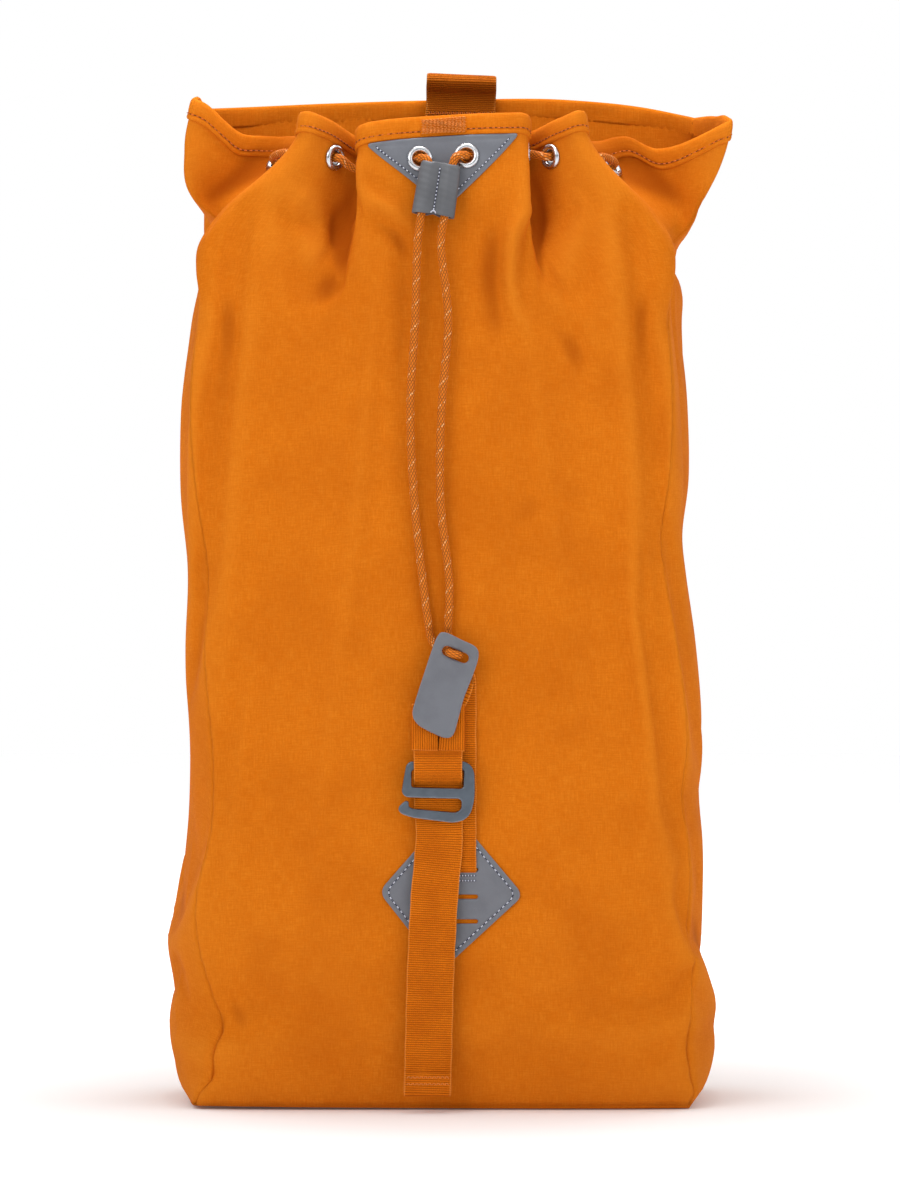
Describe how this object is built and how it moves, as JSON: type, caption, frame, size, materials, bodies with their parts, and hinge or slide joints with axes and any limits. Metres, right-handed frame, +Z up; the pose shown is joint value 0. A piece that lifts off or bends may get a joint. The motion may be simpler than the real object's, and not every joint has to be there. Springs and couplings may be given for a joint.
{
  "type": "rope storage bag",
  "caption": "Tall canvas drawstring bag with a pleated corded mouth, leather trims, and a webbing strap with a gate hook.",
  "frame": {"origin": "centre of the underside of the bag, on the surface it stands on", "axes": "+Z up towards the mouth, -Y out of the front with the strap and cords, +X to the right seen from the front"},
  "size_m": [0.2944, 0.1673, 0.5538],
  "materials": {
    "canvas": "waxed cotton canvas, plain weave, matt",
    "leather": "grey leather, fine grain, satin",
    "webbing": "ribbed webbing, matt",
    "cord": "braided cord with pale flecks",
    "thread": "pale sewing thread",
    "eyelet_nickel": "polished nickel",
    "hook_metal": "gunmetal, satin",
    "stiffener_board": "plain board"
  },
  "bodies": {
    "root": {"front_panel": "canvas", "back_panel": "canvas", "left_gusset": "canvas", "right_gusset": "canvas", "base_panel": "canvas", "base_stiffener": "stiffener_board", "rim_hem": "canvas", "hem_overlap": "canvas", "cord_patch": "leather", "diamond_patch": "leather", "patch_backing": "webbing", "drawcord": "cord", "hook_strap": "webbing", "loop_anchor": "webbing", "eyelet_patch_left": "eyelet_nickel", "eyelet_pleat_left": "eyelet_nickel", "eyelet_fold_left": "eyelet_nickel", "eyelet_flank_left": "eyelet_nickel", "eyelet_wing_left": "eyelet_nickel", "eyelet_patch_right": "eyelet_nickel", "eyelet_pleat_right": "eyelet_nickel", "eyelet_fold_right": "eyelet_nickel", "eyelet_flank_right": "eyelet_nickel", "eyelet_wing_right": "eyelet_nickel", "washer_patch_left": "eyelet_nickel", "washer_pleat_left": "eyelet_nickel", "washer_fold_left": "eyelet_nickel", "washer_flank_left": "eyelet_nickel", "washer_wing_left": "eyelet_nickel", "washer_patch_right": "eyelet_nickel", "washer_pleat_right": "eyelet_nickel", "washer_fold_right": "eyelet_nickel", "washer_flank_right": "eyelet_nickel", "washer_wing_right": "eyelet_nickel"},
    "cord_tails": {"cord_tail_left": "cord", "cord_tail_right": "cord"},
    "cord_sleeve": {"cord_sleeve": "leather"},
    "pull_tag": {"pull_tag": "leather", "cord_bight": "cord"},
    "strap_keeper": {"strap_keeper": "webbing"},
    "gate_hook": {"gate_hook": "hook_metal"},
    "strap_tail": {"strap_tail": "webbing"},
    "haul_loop": {"haul_loop": "webbing"}
  },
  "joints": [
    {"name": "tails_lift", "type": "hinge", "parent": "root", "child": "cord_tails", "pos_m": [0, -0.0712, 0.4977], "axis": [-1, 0, 0], "range_deg": [0, 100]},
    {"name": "sleeve_slide", "type": "slide", "parent": "cord_tails", "child": "cord_sleeve", "axis": [-0.1494, -0.1154, -0.982], "range_m": [0, 0.01]},
    {"name": "tag_swing", "type": "hinge", "parent": "cord_tails", "child": "pull_tag", "pos_m": [0, -0.084, 0.249], "axis": [-1, 0, 0], "range_deg": [0, 80]},
    {"name": "keeper_slide", "type": "slide", "parent": "root", "child": "strap_keeper", "axis": [0, 0, 1], "range_m": [0, 0.008]},
    {"name": "hook_swing", "type": "hinge", "parent": "root", "child": "gate_hook", "pos_m": [-0.003, -0.0884, 0.1811], "axis": [-1, 0, 0], "range_deg": [0, 80]},
    {"name": "tail_swing", "type": "hinge", "parent": "root", "child": "strap_tail", "pos_m": [-0.0026, -0.0854, 0.1497], "axis": [-1, 0, 0], "range_deg": [0, 75]},
    {"name": "loop_tilt", "type": "hinge", "parent": "root", "child": "haul_loop", "pos_m": [0.0093, 0.0606, 0.53], "axis": [1, 0, 0], "range_deg": [0, 75]}
  ]
}
